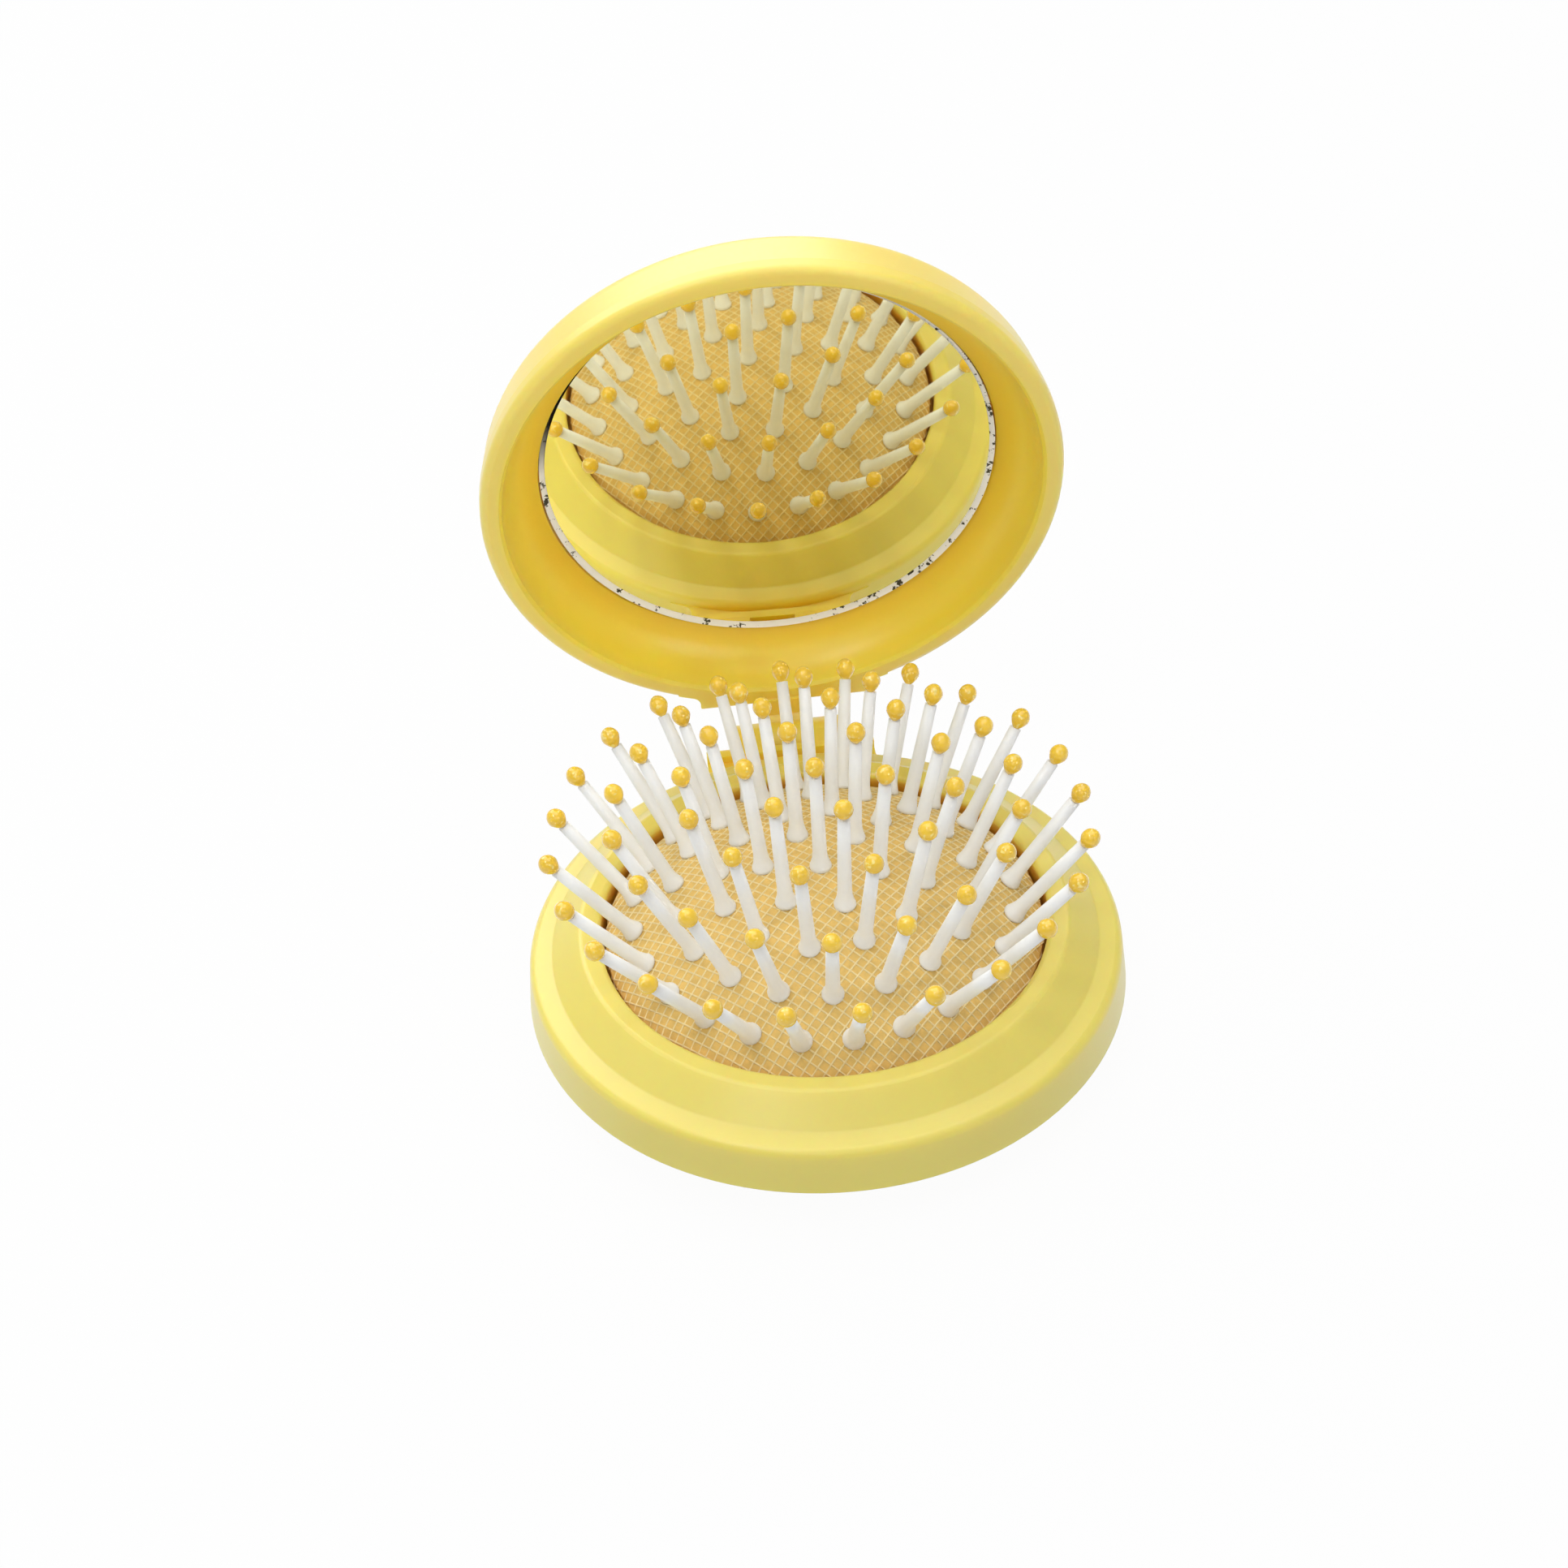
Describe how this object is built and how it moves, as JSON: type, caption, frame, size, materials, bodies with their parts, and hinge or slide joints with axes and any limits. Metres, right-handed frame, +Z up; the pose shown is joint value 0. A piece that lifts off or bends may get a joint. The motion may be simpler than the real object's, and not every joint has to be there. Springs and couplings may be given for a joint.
{
  "type": "folding hairbrush with mirror",
  "caption": "Round pocket hairbrush with a pop-up cushioned pad of ball-tipped pins, pushed up by a button in the back, and a hinged lid that holds a mirror.",
  "frame": {"origin": "centre of the flat ring that the brush stands on", "axes": "+Z up out of the pad, -Y towards the front, +Y towards the hinge, +X to the right seen from the front"},
  "size_m": [0.0718, 0.0872, 0.0846],
  "materials": {
    "shell": "satin moulded plastic",
    "inner_plastic": "matte",
    "steel": "satin",
    "pad_rubber": "matte",
    "pad_weave": "fine diagonal net weave",
    "pin_nylon": "satin, slightly translucent",
    "ball_tip": "gloss",
    "mirror": "polished, bevelled edge",
    "tape": "foam tape",
    "button": "satin moulded plastic"
  },
  "bodies": {
    "base": {"base_shell": "shell", "back_cover": "shell", "clamp_ring": "inner_plastic", "hinge_pin": "steel", "cushion_pad": "pad_rubber", "pad_facing": "pad_weave"},
    "lid": {"lid_shell": "shell", "mirror_glass": "mirror", "mirror_tape": "tape"},
    "button": {"push_button": "button", "button_plate": "inner_plastic", "pins_ring_0": "pin_nylon", "ball_tips_ring_0": "ball_tip"},
    "pin_ring_1": {"pins_ring_1": "pin_nylon", "ball_tips_ring_1": "ball_tip"},
    "pin_ring_2": {"pins_ring_2": "pin_nylon", "ball_tips_ring_2": "ball_tip"},
    "pin_ring_3": {"pins_ring_3": "pin_nylon", "ball_tips_ring_3": "ball_tip"},
    "pin_ring_4": {"pins_ring_4": "pin_nylon", "ball_tips_ring_4": "ball_tip"}
  },
  "joints": [
    {"name": "lid_hinge", "type": "hinge", "parent": "base", "child": "lid", "pos_m": [0, 0.0404, 0.009], "axis": [-1, 0, 0], "range_deg": [-78.7, 0], "deforming": ["cushion_pad", "pad_facing", "pins_ring_0", "pins_ring_1", "pins_ring_2", "pins_ring_3", "pins_ring_4", "ball_tips_ring_0", "ball_tips_ring_1", "ball_tips_ring_2", "ball_tips_ring_3", "ball_tips_ring_4"]},
    {"name": "button_press", "type": "slide", "parent": "base", "child": "button", "axis": [0, 0, -1], "range_m": [0, 0.0168], "deforming": ["cushion_pad", "pad_facing"]},
    {"name": "pin_ring_1_drop", "type": "slide", "parent": "base", "child": "pin_ring_1", "axis": [0, 0, -1], "range_m": [0, 0.01685]},
    {"name": "pin_ring_2_drop", "type": "slide", "parent": "base", "child": "pin_ring_2", "axis": [0, 0, -1], "range_m": [0, 0.01555]},
    {"name": "pin_ring_3_drop", "type": "slide", "parent": "base", "child": "pin_ring_3", "axis": [0, 0, -1], "range_m": [0, 0.01127]},
    {"name": "pin_ring_4_drop", "type": "slide", "parent": "base", "child": "pin_ring_4", "axis": [0, 0, -1], "range_m": [0, 0.0048]}
  ],
  "couplings": [
    {"joint": "pin_ring_1_drop", "follows": "button_press", "ratio": 0.9908},
    {"joint": "pin_ring_2_drop", "follows": "button_press", "ratio": 0.9136},
    {"joint": "pin_ring_3_drop", "follows": "button_press", "ratio": 0.6589},
    {"joint": "pin_ring_4_drop", "follows": "button_press", "ratio": 0.2739}
  ]
}
